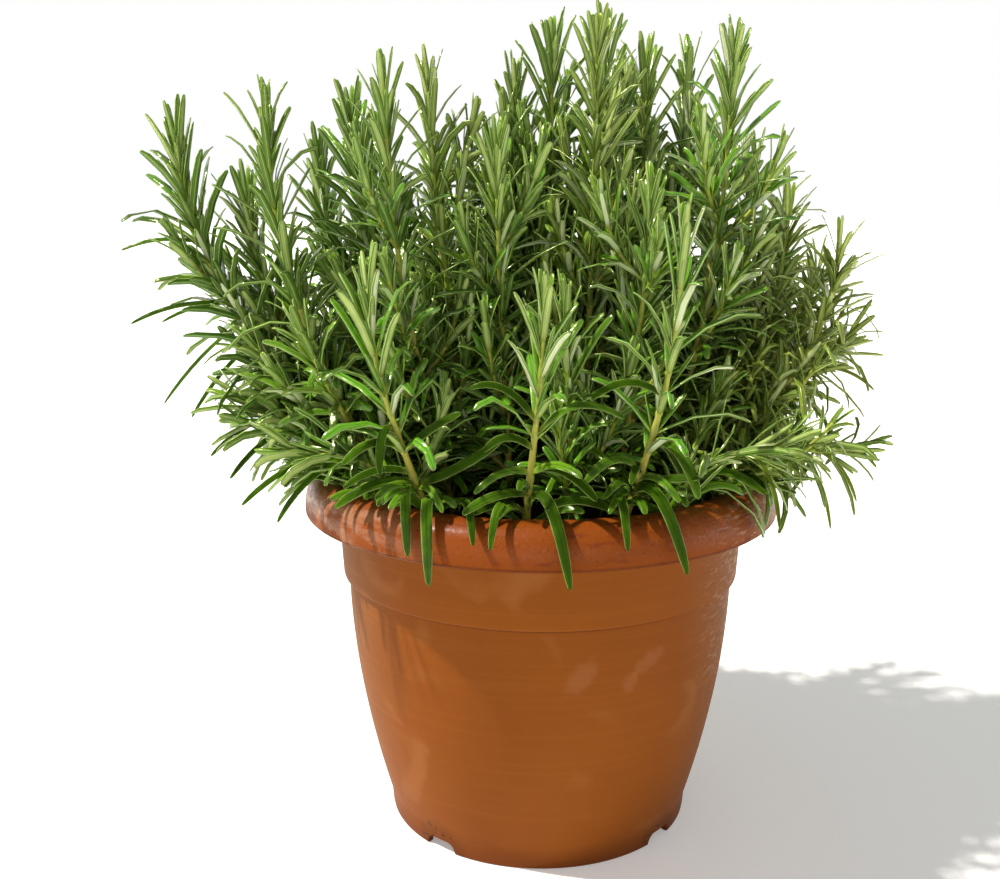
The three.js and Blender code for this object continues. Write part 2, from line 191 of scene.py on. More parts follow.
# Growth by place: how late and how far leaves spread, the small leaves to a leaf, and how often, how far up
# and how long side shoots grow
Growth = namedtuple("Growth", "lean_power spreads small shoot_chance shoots_to shoot_length")
FOREMOST = Growth(1.6, (0.74, 0.74), (0, 1, 1), 0.04, 0.32, 1)
FRONT = Growth(1.15, (0.78, 0.92), (2, 2, 3), 0.34, 0.32, 1)
OUTER = Growth(1.15, (0.95, 1.12), (3, 3, 4), 0.33, 0.66, 0.75)
INNER = Growth(1.15, (0.92, 1.1), (2, 2, 3), 0.33, 0.78, 1)

# Old leaves near the soil, which are longer, broader and darker
OLD_BELOW = 46
OLD_LENGTH = 0.3
OLD_WIDTH = 0.5
OLD_DARKER = 0.3

# Stems that lean to the right have thinner, more curled leaves
CURL_FROM = 75
CURL_FULL = 120
CURL_OPENING = 0.45
CURL_LEAN = 24
CURL_BEND = 70
CURL_SHORTER = 0.12
CURL_THINNER = 0.32

# Low down at the outside of the bush the leaves hang, and are longer and broader
HANG_BELOW = 232
HANG_FROM_RADIUS = 40
HANG_REACH = 60
HANG_LEAN = 12
HANG_DROOPS = (0.4, 1.6)
HANG_LENGTH = 0.18
HANG_WIDTH = 0.3

# Low leaves round the feet of the front stems: how many, and their ranges
LOW_LEAVES = 8
LOW_ROOTS = (7, 36)
LOW_TURNS = (1.04, 1.96)
LOW_REACHES = (20, 29)
LOW_RISES = (-5, 8)
LOW_ARCH = 8
LOW_HALF_WIDTHS = (1.4, 1.9)
LOW_TONES = (0.2, 1)

# Keeping leaves clear of the pot and the soil
LEAF_ROOM = 1.6
LONG_LEAF_ROOM = 1.2
SETTLE_TRIES = 7

# Foot in the soil, top of the last leaf, and how far out the stem leans while it still rises
STEMS = [
    ((-52, -12), (-147, -10, 300), 0.35),
    ((-50, -38), (-106, -30, 310), 0.45),
    ((-60, 8), (-122, 2, 276), 0.35),
    ((-40, 26), (-87, 60, 312), 0.3),
    ((-56, 38), (-105, 75, 294), 0.3),
    ((-38, -64), (-61, -80, 248), 0.5),
    ((-36, -18), (-61, -25, 318), 0.3),
    ((-26, 8), (-47, 15, 324), 0.3),
    ((-12, -20), (-18, -15, 295), 0.2),
    ((-14, 36), (-12, 60, 324), 0.2),
    ((6, 28), (4, 50, 340), 0.2),
    ((18, -4), (22, 2, 338), 0.2),
    ((28, 16), (26, 30, 343), 0.2),
    ((18, 48), (39, 75, 325), 0.2),
    ((40, 34), (46, 55, 331), 0.2),
    ((54, 46), (67, 75, 333), 0.25),
    ((48, -2), (76, 0, 334), 0.45),
    ((64, 24), (113, 70, 277), 0.35),
    ((70, 6), (125, 50, 247), 0.35),
    ((50, -26), (121, -5, 258), 0.6),
    ((27, -68), (50, -72, 264), 0.6),
    ((-6, -72), (1, -82, 241), 0.4),
    ((14, -36), (9, -60, 237), 0.3),
    ((62, -38), (134, -8, 176), 0.2),
    ((44, 58), (140, 58, 208), 0.15),
    ((-66, -26), (-120, -26, 198), 0.15),
    ((-54, -54), (-94, -62, 186), 0.1),
    ((47, -57), (94, -54, 188), 0.15),
    ((73, -14), (132, 12, 222), 0.15),
    ((-32, 50), (-50, 100, 290), 0.3),
    ((0, 68), (8, 116, 272), 0.3),
    ((28, 68), (62, 122, 250), 0.2),
    ((-28, 68), (-66, 124, 240), 0.2),
    ((-70, 22), (-142, 44, 236), 0.15),
    ((-50, 56), (-112, 104, 211), 0.1),
    ((-12, 74), (-20, 140, 198), 0.1),
    ((0, 4), (-16, 26, 306), 0.2),
    ((32, -24), (42, -30, 276), 0.2),
    ((-38, 54), (-80, 48, 296), 0.3),
    ((61, -9), (104, 16, 268), 0.35),
    ((52, 16), (92, 30, 292), 0.3),
]

# How much paler or darker, and how yellow, the leaves of some stems are
TONE_SHIFTS = {1: -0.3, 2: -0.25, 4: -0.2, 6: 0.2, 8: 0.15, 11: -0.25, 12: 0.2, 14: -0.2, 17: 0.32}
TONE_SHIFTS |= {18: 0.25, 19: 0.2, 20: 0.05, 21: 0.36, 22: 0.28, 24: -0.4, 25: 0.1}
TONE_SHIFTS |= {28: -0.35, 29: -0.1, 40: 0.15, 41: 0.1}
YELLOWNESS = {2: 0.2, 8: 0.55, 10: 0.3, 12: 0.6, 15: 0.3, 24: 0.35, 28: 0.15}

# Long leaves that are placed one by one: each one's stem, root, top of its arch, tip and half width. The
# first seven hang over the rim, the last fourteen droop at the bush's sides, and all face the front.
HANGING = [
    (6, (-40, -74, 154), (-41, -92, 164), (-39, -99, 131), 2.2),
    (6, (-49, -70, 160), (-49, -86, 165), (-47, -93, 140), 2),
    (6, (-30, -72, 152), (-25, -90, 160), (-23, -102, 147), 1.6),
    (22, (-5, -73, 152), (3, -93, 162), (11, -105, 132), 2.3),
    (22, (-10, -73, 150), (-15, -92, 160), (-17, -104, 146), 1.6),
    (21, (34, -71, 158), (42, -88, 166), (53, -92, 134), 2.3),
    (21, (28, -70, 153), (29, -90, 162), (31, -100, 145), 1.7),
    (22, (-3, -76, 168), (9, -88, 176), (20, -96, 162), 2.1),
    (22, (-4, -75, 159), (-16, -90, 165), (-27, -97, 157), 2),
    (21, (30, -69, 150), (12, -86, 164), (2, -97, 159), 1.9),
    (21, (36, -69, 168), (26, -84, 180), (16, -90, 167), 2),
    (21, (41, -70, 178), (51, -84, 183), (56, -92, 162), 2.3),
    (21, (34, -69, 160), (44, -82, 168), (56, -90, 169), 1.8),
    (6, (-45, -69, 160), (-57, -84, 170), (-74, -86, 156), 2.1),
    (6, (-45, -69, 161), (-30, -80, 168), (-14, -80, 180), 2.1),
    (6, (-50, -72, 174), (-39, -82, 186), (-28, -84, 191), 1.8),
    (6, (-51, -73, 176), (-61, -84, 184), (-70, -90, 173), 1.9),
    (6, (-54, -75, 184), (-58, -84, 186), (-57, -88, 169), 1.7),
    (22, (-1, -78, 182), (12, -86, 202), (30, -84, 189), 1.5),
    (22, (-1, -78, 186), (-12, -86, 206), (-25, -86, 200), 1.5),
    (22, (-2, -77, 176), (-12, -88, 188), (-20, -90, 178), 1.7),
    (21, (46, -71, 194), (32, -82, 208), (18, -84, 196), 1.6),
    (34, (-133, 41, 211), (-154, 36, 198), (-172, 32, 172), 1),
    (34, (-125, 39, 204), (-145, 34, 191), (-159, 30, 166), 1.1),
    (34, (-137, 42, 217), (-156, 38, 219), (-172, 36, 209), 1),
    (26, (-106, -26, 179), (-121, -29, 176), (-134, -30, 162), 1.2),
    (26, (-98, -26, 176), (-114, -30, 170), (-126, -32, 153), 1.3),
    (27, (-83, -59, 169), (-100, -62, 165), (-114, -62, 150), 1.3),
    (27, (-74, -58, 168), (-90, -63, 163), (-100, -64, 144), 1.3),
    (1, (-139, -10, 247), (-157, -12, 251), (-171, -14, 244), 1),
    (1, (-127, -10, 222), (-150, -12, 225), (-169, -14, 214), 1.1),
    (24, (104, -20, 164), (117, -19, 156), (121, -18, 130), 0.9),
    (24, (114, -16, 163), (126, -16, 159), (132, -14, 141), 0.9),
    (24, (124, -10, 163), (132, -10, 166), (140, -12, 155), 0.9),
    (28, (80, -55, 171), (89, -62, 164), (90, -66, 144), 1),
    (29, (116, 4, 194), (131, 8, 196), (143, 10, 184), 0.9),
]
FACING = Vector((0, -0.8, 0.6))
RAISE = Vector((0, -0.3, 1))
LONG_CHECKS = [tenths / 10 for tenths in range(3, 11)]
LONG_YOUTH = 0.05
LONG_TONES = (0, 0.45)

# Leaf section, in half widths: across, height, and 1 on the pale side beneath. The edges roll under.
LEAF_SECTION = [(0, 0.16, 0), (0.54, 0.35, 0), (0.95, 0.12, 0), (0.84, -0.2, 1)]
LEAF_SECTION += [(0, -0.24, 1), (-0.84, -0.2, 1), (-0.95, 0.12, 0), (-0.54, 0.35, 0)]
PLAIN_SECTION = [LEAF_SECTION[i] for i in (0, 2, 3, 4, 5, 6)]
SMALL_SECTION = [(0, 0.18, 0), (0.93, 0.16, 0), (0.8, -0.22, 1)]
SMALL_SECTION += [(0, -0.24, 1), (-0.8, -0.22, 1), (-0.93, 0.16, 0)]

# How wide a leaf is at each share of its length
LEAF_STATIONS = [(0, 0.5), (0.14, 0.88), (0.4, 1), (0.74, 0.96), (0.92, 0.78), (0.985, 0.46)]
PLAIN_STATIONS = [(0, 0.5), (0.2, 0.94), (0.55, 1), (0.86, 0.88), (0.975, 0.5)]
LONG_STATIONS = [(0, 0.45), (0.08, 0.72), (0.18, 0.92), (0.3, 1), (0.42, 1), (0.54, 1)]
LONG_STATIONS += [(0.66, 0.99), (0.78, 0.94), (0.88, 0.82), (0.95, 0.62), (0.985, 0.4)]
SMALL_STATIONS = [(0, 0.55), (0.4, 1), (0.84, 0.8), (0.97, 0.42)]

# One stem's habit, and one leaf before it is laid
Habit = namedtuple("Habit", "growth spread size curl shift yellow")
Leaf = namedtuple("Leaf", "root out along lean length half_width bend droop roll twist kind blank")


# Making pieces
def put(name, data):
    """Puts a new object in the scene."""
    made = bpy.data.objects.new(name, data)
    scene.collection.objects.link(made)
    return made


def mesh_of(bm, name):
    """The mesh that a bmesh holds. It frees the bmesh."""
    mesh = bpy.data.meshes.new(name)
    bm.to_mesh(mesh)
    bm.free()
    return mesh


def finish_piece(name, bm, materials, nodes, smooth=True):
    """Makes a piece in metres, which takes the place of some solid nodes."""
    bmesh.ops.scale(bm, vec=(METRE, METRE, METRE), verts=bm.verts)
    for face in bm.faces:
        face.smooth = smooth
    mesh = mesh_of(bm, name)
    for material in materials:
        mesh.materials.append(material)
    piece = put(name, mesh)
    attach(piece, "root")
    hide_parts(*nodes)
    return piece


def turned(outline, steps):
    """A closed turned solid, from an outline of radius and height that starts and ends on the axis."""
    bm = bmesh.new()
    verts = [bm.verts.new((radius, 0, z)) for radius, z in outline]
    edges = [bm.edges.new(pair) for pair in zip(verts, verts[1:])]
    whole = {"axis": (0, 0, 1), "cent": (0, 0, 0), "angle": tau, "steps": steps, "use_merge": True}
    bmesh.ops.spin(bm, geom=verts + edges, **whole)
    bmesh.ops.remove_doubles(bm, verts=bm.verts, dist=0.001)
    bmesh.ops.recalc_face_normals(bm, faces=bm.faces)
    return bm


def drawn_out(bm, face):
    """Extrudes a face, and gives its new end."""
    grown = bmesh.ops.extrude_face_region(bm, geom=[face])["geom"]
    return next(part for part in grown if isinstance(part, bmesh.types.BMFace))


def sharpen(bm, angle):
    """Keeps those edges crisp that turn by more than the angle."""
    for edge in bm.edges:
        if len(edge.link_faces) == 2 and edge.calc_face_angle() > angle:
            edge.smooth = False


# Pot
def belly_radius(z):
    to_shoulder = (SHOULDER_Z - z) / (SHOULDER_Z - KINK_Z)
    return BELLY_RADIUS - (BELLY_RADIUS - KINK_RADIUS) * to_shoulder**BELLY_POWER


def belly(low, high, steps, inset):
    heights = [low + (high - low) * i / steps for i in range(steps + 1)]
    return [(belly_radius(z) - inset, z) for z in heights]


def rim_roll():
    """The rounded top of the rim, from its outside edge to its crown."""
    height = RIM_TOP_Z - RIM_EDGE_Z - RIM_FACE
    points = []
    for i in range(RIM_ROLL_STEPS + 1):
        angle = pi / 2 * i / RIM_ROLL_STEPS
        across = RIM_ROLL * max(0, cos(angle)) ** (2 / RIM_ROLL_POWER)
        up = height * sin(angle) ** (2 / RIM_ROLL_POWER)
        points.append((RIM_RADIUS - RIM_ROLL + across, RIM_TOP_Z - height + up))
    return points


def pot_outline():
    """From the floor's underside out to the foot, up the outside, over the rim and down the inside."""
    under = RIM_RADIUS - WALL
    inner_foot = FOOT_RADIUS - FOOT_RING
    return [
        (0, 0),
        (PAD_RADIUS, 0),
        (PAD_RADIUS + CHANNEL_SLOPE, CHANNEL_Z),
        (inner_foot, CHANNEL_Z),
        (inner_foot + 0.4, 0.4),
        (inner_foot + 0.9, 0),
        (FOOT_RADIUS - 0.8, 0),
        (FOOT_RADIUS - 0.2, 0.5),
        (FOOT_RADIUS + 0.1, 2),
        (KINK_RADIUS - 0.2, KINK_Z - 1),
        (KINK_RADIUS, KINK_Z),
        *belly(KINK_Z + 2, SHOULDER_Z, BELLY_STEPS, 0),
        (BELLY_RADIUS + 0.5, SHOULDER_Z + 0.3),
        (COLLAR_RADIUS - 0.7, SHOULDER_Z + 0.6),
        (COLLAR_RADIUS - 0.2, SHOULDER_Z + 1),
        (COLLAR_RADIUS, SHOULDER_Z + 1.8),
        (COLLAR_RADIUS + 0.7, SHOULDER_Z + 14),
        (COLLAR_TOP_RADIUS - 0.3, MOUTH_Z - 6),
        (COLLAR_TOP_RADIUS + 0.3, MOUTH_Z - 2.6),
        (under - 5.4, MOUTH_Z - 2.6),
        (under - 2.2, MOUTH_Z - 4.8),
        (under - 0.3, MOUTH_Z - RIM_HOLLOW),
        (under, RIM_EDGE_Z + 0.8),
        (under + 0.6, RIM_EDGE_Z),
        (RIM_RADIUS - 0.7, RIM_EDGE_Z),
        (RIM_RADIUS - 0.1, RIM_EDGE_Z + 0.6),
        *rim_roll(),
        (MOUTH_RADIUS + 1.6, MOUTH_Z + 1),
        (MOUTH_RADIUS + 0.4, MOUTH_Z + 0.3),
        (MOUTH_RADIUS, MOUTH_Z - 1),
        (COLLAR_RADIUS - WALL, SHOULDER_Z + 4),
        *reversed(belly(INSIDE_FOOT_Z, SHOULDER_Z, INSIDE_STEPS, WALL)),
        (KINK_RADIUS - WALL - 0.8, CHANNEL_Z + WALL),
        (PAD_RADIUS + 0.5, CHANNEL_Z + WALL),
        (PAD_RADIUS - CHANNEL_SLOPE + 0.5, WALL),
        (0, WALL),
    ]


def notch_cutter(bm, angle):
    """A round-topped block across the foot ring."""
    size = Matrix.Diagonal((CUT_DEPTH, NOTCH_WIDTH, NOTCH_HEIGHT * 2, 1))
    made = bmesh.ops.create_cube(bm, size=1, matrix=size)["verts"]
    edges = {
        edge
        for vert in made
        for edge in vert.link_edges
        if all(v.co.z > 0 for v in edge.verts) and edge.verts[0].co.y == edge.verts[1].co.y
    }
    corner = {"offset": NOTCH_CORNER, "segments": NOTCH_CORNER_STEPS, "profile": 0.5}
    rounded = bmesh.ops.bevel(bm, geom=list(edges), affect="EDGES", material=-1, **corner)
    block = [vert for vert in {*made, *rounded["verts"]} if vert.is_valid]
    at = Matrix.Rotation(angle, 4, "Z") @ Matrix.Translation((FOOT_RADIUS + NOTCH_OUT, 0, 0))
    bmesh.ops.transform(bm, matrix=at, verts=block)


def drain_cutter(bm, angle):
    at = Matrix.Rotation(angle, 4, "Z") @ Matrix.Translation((DRAIN_AT, 0, CHANNEL_Z))
    size = {"radius1": DRAIN_RADIUS, "radius2": DRAIN_RADIUS, "depth": CUT_DEPTH}
    bmesh.ops.create_cone(bm, cap_ends=True, segments=DRAIN_SIDES, matrix=at, **size)


def cut_away(bm, cutter_bm):
    """The first mesh less the second one, by a Boolean modifier."""
    body, cutter = works = [put("work", mesh_of(source, "work")) for source in (bm, cutter_bm)]
    cut = body.modifiers.new("cut", "BOOLEAN")
    cut.operation = "DIFFERENCE"
    cut.solver = "EXACT"
    cut.object = cutter
    depsgraph = bpy.context.evaluated_depsgraph_get()
    result = bmesh.new()
    result.from_mesh(body.evaluated_get(depsgraph).to_mesh())
    for work in works:
        bpy.data.meshes.remove(work.data)
    return result


def make_pot(material):
    cutters = bmesh.new()
    for i in range(NOTCH_COUNT):
        angle = NOTCH_FIRST + tau * i / NOTCH_COUNT
        notch_cutter(cutters, angle)
        drain_cutter(cutters, angle)
    bm = cut_away(turned(pot_outline(), POT_STEPS), cutters)
    sharpen(bm, CRISP_FROM)
    return finish_piece("moulded_pot", bm, [material], ["pot"])


# Soil
def soil_height(radius):
    if radius < SOIL_RING_RADIUS:
        return SOIL_TOP_Z - SOIL_RING_DROP * (radius / SOIL_RING_RADIUS) ** 2
    ring_z = SOIL_TOP_Z - SOIL_RING_DROP
    slope = (ring_z - SOIL_EDGE_Z) / (MOUTH_RADIUS - SOIL_RING_RADIUS)
    return ring_z - slope * (radius - SOIL_RING_RADIUS)


def soil_outline():
    inset = WALL + CLEAR
    edge = COLLAR_RADIUS + 0.4 - inset
    radii = [edge * (SOIL_RINGS - i) / SOIL_RINGS for i in range(SOIL_RINGS + 1)]
    top = [(radius, soil_height(radius)) for radius in radii]
    return [
        (0, inset),
        (PAD_RADIUS - CHANNEL_SLOPE + 0.2, inset),
        (PAD_RADIUS + 0.2, CHANNEL_Z + inset),
        (KINK_RADIUS - inset - 0.8, CHANNEL_Z + inset),
        *belly(INSIDE_FOOT_Z, SHOULDER_Z, 6, inset),
        (COLLAR_RADIUS - inset, SHOULDER_Z + 4),
        *top,
    ]


def lumpiness(spot):
    lumps = 0
    for layer, (closeness, height) in zip((0, 7), (COARSE_LUMPS, FINE_LUMPS)):
        lumps += height * noise.noise(Vector((spot.x, spot.y, layer)) * closeness)
    return lumps


def add_crumb(bm, spot, size, draw):
    """A squashed, knobbly lump of soil or bark."""
    width, depth = draw.uniform(0.7, 1.4), draw.uniform(0.7, 1.2)
    squash = Matrix.Diagonal((size * width, size * depth, size * 0.7, 1))
    turn = Matrix.Rotation(draw.uniform(0, tau), 4, (draw.random(), draw.random(), 1))
    at = Matrix.Translation(spot) @ turn @ squash
    made = bmesh.ops.create_icosphere(bm, subdivisions=1, radius=1, matrix=at)["verts"]
    for vert in made:
        vert.co += (vert.co - spot) * draw.uniform(-0.25, 0.25)


def make_soil(material):
    bm = turned(soil_outline(), SOIL_STEPS)
    for vert in bm.verts:
        radius = vert.co.xy.length
        if vert.co.z > SOIL_EDGE_Z - 0.5 and radius < MOUTH_RADIUS - 4:
            vert.co.z += lumpiness(vert.co)
    draw = random.Random(SEED)
    for _ in range(CRUMBS):
        radius = (MOUTH_RADIUS - 6) * sqrt(draw.random())
        angle = draw.uniform(0, tau)
        size = draw.uniform(*CRUMB_SIZES) * (1 + LARGE_CRUMB_EXTRA * draw.random() ** 4)
        spot = Vector((radius * cos(angle), radius * sin(angle), 0))
        spot.z = soil_height(radius) + lumpiness(spot) + size * 0.2
        add_crumb(bm, spot, size, draw)
    return finish_piece("potting_mix", bm, [material], ["soil"], smooth=False)


# Stems
class Twig:
    """A stem's or side shoot's path to its last pair of leaves, measured along its length."""

    def __init__(self, knots, reaches, root_length, bare_length, gaps):
        self.spots = interpolate_bezier(*knots, PATH_STEPS)
        self.marks = [0]
        for near, far in zip(self.spots, self.spots[1:]):
            self.marks.append(self.marks[-1] + (far - near).length)
        self.length = self.marks[-1]
        self.thick, self.thin = reaches
        self.root_length = root_length
        self.bare_length = bare_length
        self.first_gap, self.widest_gap = gaps

    def at(self, distance):
        """The stem's centre, and its direction with two sides square to it, that far above the soil."""
        last = len(self.spots) - 2
        i = 0
        while i < last and self.marks[i + 1] < distance:
            i += 1
        share = (distance - self.marks[i]) / (self.marks[i + 1] - self.marks[i])
        along = (self.spots[i + 1] - self.spots[i]).normalized()
        level = Vector((0, 1, 0)) if abs(along.y) < 0.9 else Vector((1, 0, 0))
        side = level.cross(along).normalized()
        return self.spots[i].lerp(self.spots[i + 1], share), along, side, along.cross(side)

    def reach(self, distance):
        return self.thick + (self.thin - self.thick) * max(0, distance) / self.length

    def joints(self):
        """Distances of the leaf pairs along the stem, from the tip down, where they are closest."""
        places = []
        below = 0.5
        gap = self.first_gap
        while self.length - below > self.bare_length:
            places.append(self.length - below)
            below += gap
            gap = min(self.widest_gap, gap + GAP_GROWTH)
        return places


def main_stem(foot, tip, sweep):
    start = Vector((*foot, soil_height(hypot(*foot))))
    end = Vector((tip[0], tip[1], tip[2] - TIP_SPIKE))
    way = end - start
    lift = max(LIFT_SHARE * way.z, LOW_LIFT - LOW_LIFT_LOSS * way.z)
    drop = max(min(LOW_DROP, LOW_DROP_SHARE * way.z), DROP_SHARE * (way.z - DROP_FROM))
    out = min(1, sweep + OUT_SHARE)
    first = start + Vector((sweep * way.x, sweep * way.y, lift))
    second = Vector((start.x + out * way.x, start.y + out * way.y, end.z - drop))
    foremost = start.y < FOREMOST_Y
    bare = FOREMOST_BARE_LENGTH if foremost else BARE_LENGTH
    first_gap = FOREMOST_TIP_GAP if foremost else TIP_GAP
    widest_gap = OUTER_GAP if abs(tip[0]) > OUTER_X else STEM_GAP
    knots = (start, first, second, end)
    return Twig(knots, (STEM_FOOT, STEM_TIP), HOLE_DEPTH, bare, (first_gap, widest_gap))


def outward(side, across, angle):
    """The way out from a stem at that angle round it."""
    return side * cos(angle) + across * sin(angle)


def side_shoot(stem, joint, turn, draw, habit):
    """A short shoot out of a leaf's armpit, which turns up beside its stem."""
    centre, along, side, across = stem.at(joint)
    out = outward(side, across, turn)
    upward = (along + Vector((0, 0, 0.5))).normalized()
    length = draw.uniform(*SHOOT_LENGTHS) + LOW_SHOOT_EXTRA * (1 - joint / stem.length)
    length *= habit.growth.shoot_length
    lean = radians(draw.uniform(*SHOOT_LEANS))
    away = along * cos(lean) + out * sin(lean)
    first = centre + away * length * 0.4
    second = first + (away + upward) * length * 0.16
    end = second + (upward + away * 0.4) * length * 0.3
    knots = (centre, first, second, end)
    reaches = (stem.reach(joint) * SHOOT_THICKNESS, STEM_TIP * SHOOT_TIP)
    return Twig(knots, reaches, 0, SHOOT_BARE_LENGTH, (TIP_GAP, SHOOT_GAP))


def ring_matrix(stem, distance, reach):
    centre, along, side, across = stem.at(distance)
    axes = Matrix((side, across, along)).transposed().to_4x4()
    return Matrix.Translation(centre) @ axes @ Matrix.Diagonal((reach, reach, reach, 1))


def add_stem(bm, stem, joints, layers, tone, start_share):
    """A stem with low ridges and a swelling at each joint, with the marks that its finish reads."""
    place, kind = layers
    stations = [(-stem.root_length, 1), (0.2, 1.05)]
    scars = [SCAR_GAP * i for i in range(1, int(stem.bare_length / SCAR_GAP))]
    for joint in scars + joints[::-1]:
        stations += [(joint - JOINT_LENGTH, JOINT_NECK), (joint, JOINT_SWELL)]
    stations = [s for s in stations if s[0] < stem.length]
    sides = 8 if stem.root_length else 4
    verts = bmesh.ops.create_circle(bm, cap_ends=True, segments=sides, radius=1)["verts"]
    for i, vert in enumerate(verts):
        vert.co *= STEM_RIDGE if i % 2 or sides == 4 else STEM_FLAT
    face = verts[0].link_faces[0]
    before = Matrix.Identity(4)
    for i, (distance, swell) in enumerate(stations):
        if i:
            face = drawn_out(bm, face)
        after = ring_matrix(stem, distance, stem.reach(distance) * swell)
        bmesh.ops.transform(bm, matrix=after @ before.inverted(), verts=face.verts)
        before = after
        share = max(0, distance) / stem.length
        for vert in face.verts:
            vert[place] = Vector((0, distance / stem.length, 0))
            vert[kind] = Vector((tone, share + start_share * (1 - share), abs(swell - 1) * 4))


# Leaves
class Blank:
    """A straight leaf with its stations one unit apart, which leaves are bent from."""

    def __init__(self, name, section, stations):
        bm = bmesh.new()
        place = bm.verts.layers.float_vector.new("place")
        bm.verts.layers.float_vector.new("kind")
        face = bm.faces.new([bm.verts.new((x, h, 0)) for x, h, _ in section])
        for vert, (x, _, under) in zip(face.verts, section):
            vert[place] = Vector((x, 0, under))
        self.stations = [share for share, _ in stations] + [1]
        wide = stations[0][1]
        bmesh.ops.scale(bm, vec=(wide, sqrt(wide), 1), verts=bm.verts)
        for share, width in stations[1:]:
            face = drawn_out(bm, face)
            ratio = width / wide
            bmesh.ops.scale(bm, vec=(ratio, sqrt(ratio), 1), verts=face.verts)
            bmesh.ops.translate(bm, vec=(0, 0, 1), verts=face.verts)
            for vert in face.verts:
                vert[place] = Vector((vert[place].x, share, vert[place].z))
            wide = width
        tip = bmesh.ops.poke(bm, faces=[face])["verts"]
        bmesh.ops.translate(bm, vec=(0, 0, 1), verts=tip)
        for vert in tip:
            vert[place] = Vector((0, 1, 0.5))
        bmesh.ops.recalc_face_normals(bm, faces=bm.faces)
        for edge in bm.edges:
            ends = [vert[place] for vert in edge.verts]
            edge.smooth = abs(ends[0].x) < 0.9 or abs(ends[1].x) < 0.9 or ends[0].y == ends[1].y
        for face in bm.faces:
            face.smooth = True
        self.points = [(v.co.x, v.co.y, round(v.co.z), v[place].copy()) for v in bm.verts]
        self.mesh = mesh_of(bm, name)


def leaf_frames(leaf, stations):
    """Where the leaf's middle runs, with its right and upper directions, at each of its stations."""
    right = leaf.along.cross(leaf.out).normalized()
    frames = []
    spot = leaf.root.copy()
    before = 0
    for share in stations:
        middle = (share + before) / 2
        angle = leaf.lean + leaf.bend * middle**1.4
        way = leaf.along * cos(angle) + leaf.out * sin(angle)
        way.z -= leaf.droop * middle * middle
        way.normalize()
        spot = spot + way * (share - before) * leaf.length
        up = way.cross(right).normalized()
        flat = up.cross(way)
        turn = leaf.roll + leaf.twist * share
        frames.append((spot, flat * cos(turn) + up * sin(turn), up * cos(turn) - flat * sin(turn)))
        before = share
    return frames


def arch(root, top, tip, share):
    return root * (1 - share) ** 2 + top * (2 * share * (1 - share)) + tip * share**2


def bend_copy(bm, first, blank, frames, half_width, own_kind, layers):
    """Bends the copy of a blank that starts at that vertex along the frames of its stations."""
    place, kind = layers
    for offset, (x, height, station, mark) in enumerate(blank.points):
        spot, right, up = frames[station]
        vert = bm.verts[first + offset]
        vert.co = spot + (right * x + up * height) * half_width
        vert[place] = mark
        vert[kind] = own_kind


def lay_long(bm, knots, half_width, blank, layers, own_kind):
    """Lays one long leaf along an arch from its root to its tip, clear of the rim and the soil."""
    root, top, tip = [Vector(knot) for knot in knots]
    while any(meets_pot(arch(root, top, tip, share), LONG_LEAF_ROOM) for share in LONG_CHECKS):
        top += RAISE
    frames = []
    for share in blank.stations:
        way = ((top - root) * (1 - share) + (tip - top) * share).normalized()
        right = way.cross(FACING).normalized()
        frames.append((arch(root, top, tip, share), right, right.cross(way)))
    first = len(bm.verts)
    bm.from_mesh(blank.mesh)
    bm.verts.ensure_lookup_table()
    bend_copy(bm, first, blank, frames, half_width, own_kind, layers)


def lay_low(bm, stem, blank, layers, draw):
    """Lays old, broad leaves round the foot of a front stem, which reach out over the soil."""
    for _ in range(LOW_LEAVES):
        root = stem.at(draw.uniform(*LOW_ROOTS))[0]
        turn = draw.uniform(*LOW_TURNS) * pi
        away = Vector((cos(turn), sin(turn), 0))
        tip = root + away * draw.uniform(*LOW_REACHES) + Vector((0, 0, draw.uniform(*LOW_RISES)))
        ground = RIM_TOP_Z if tip.xy.length > MOUTH_RADIUS - 6 else SOIL_TOP_Z
        tip.z = max(tip.z, ground + 3)
        top = root.lerp(tip, 0.5) + Vector((0, 0, LOW_ARCH))
        own_kind = Vector((draw.uniform(*LOW_TONES), LONG_YOUTH, 0))
        lay_long(bm, (root, top, tip), draw.uniform(*LOW_HALF_WIDTHS), blank, layers, own_kind)


def meets_pot(spot, room):
    """Whether a spot has less than that room over the soil or round the rim."""
    radius = spot.xy.length
    if radius < MOUTH_RADIUS - 2 - room:
        return spot.z < SOIL_TOP_Z + room
    return radius < RIM_RADIUS + room and spot.z < RIM_TOP_Z + room


def settle(leaf):
    """Raises a leaf until it clears the pot and the soil, or gives up on it."""
    checks = leaf.blank.stations[2:]
    for _ in range(SETTLE_TRIES):
        if not any(meets_pot(spot, LEAF_ROOM) for spot, _, _ in leaf_frames(leaf, checks)):
            return leaf
        leaf = leaf._replace(lean=leaf.lean * 0.8, bend=leaf.bend * 0.6, droop=leaf.droop * 0.6)
    return None


def hang_at(spot):
    """How much the leaves there droop: most low down at the outside of the bush."""
    low = max(0, min(1, (HANG_BELOW - spot.z) / HANG_REACH))
    outside = max(0, min(1, (spot.xy.length - HANG_FROM_RADIUS) / HANG_REACH))
    return low * outside


